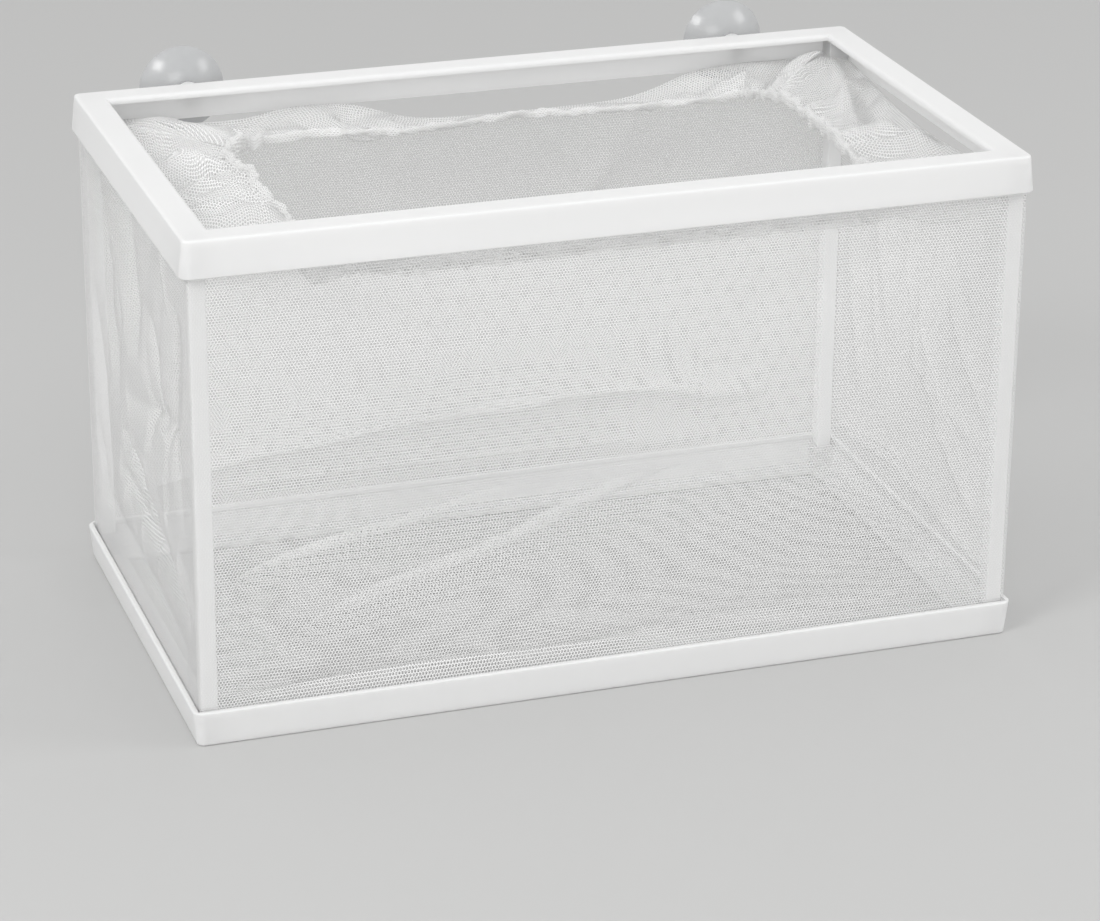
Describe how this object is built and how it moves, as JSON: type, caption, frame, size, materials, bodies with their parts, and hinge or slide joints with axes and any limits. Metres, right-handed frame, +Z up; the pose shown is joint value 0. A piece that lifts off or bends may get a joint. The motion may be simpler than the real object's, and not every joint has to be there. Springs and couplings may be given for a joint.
{
  "type": "fish breeding box",
  "caption": "Open-topped fish breeding box: a net bag with an elastic mouth, stretched between two moulded frames on corner posts, with suction cups behind the top frame.",
  "frame": {"origin": "on the surface it stands on, under the middle of the whole part with its suction cups", "axes": "+X to the right along the long side, +Y from the front towards the suction cups, +Z up out of the mouth"},
  "size_m": [0.267, 0.1648, 0.1684],
  "materials": {
    "frame": "white moulded plastic with a soft gloss",
    "net": "fine white see-through netting",
    "elastic": "white round elastic",
    "cup": "clear greyish soft vinyl"
  },
  "bodies": {
    "box": {"top_frame": "frame", "bottom_frame": "frame", "post_front_left": "frame", "post_front_right": "frame", "post_back_left": "frame", "post_back_right": "frame", "net_front": "net", "net_back": "net", "net_left": "net", "net_right": "net", "net_floor": "net", "collar_front": "net", "collar_back": "net", "collar_left": "net", "collar_right": "net", "hem": "net", "elastic": "elastic"},
    "cup_left": {"cup_left": "cup"},
    "cup_right": {"cup_right": "cup"}
  },
  "joints": [
    {"name": "cup_left_swivel", "type": "hinge", "parent": "box", "child": "cup_left", "pos_m": [-0.0938, 0.0736, 0.1544], "axis": [0, 1, 0], "continuous": true},
    {"name": "cup_right_swivel", "type": "hinge", "parent": "box", "child": "cup_right", "pos_m": [0.0938, 0.0736, 0.1544], "axis": [0, 1, 0], "continuous": true}
  ]
}
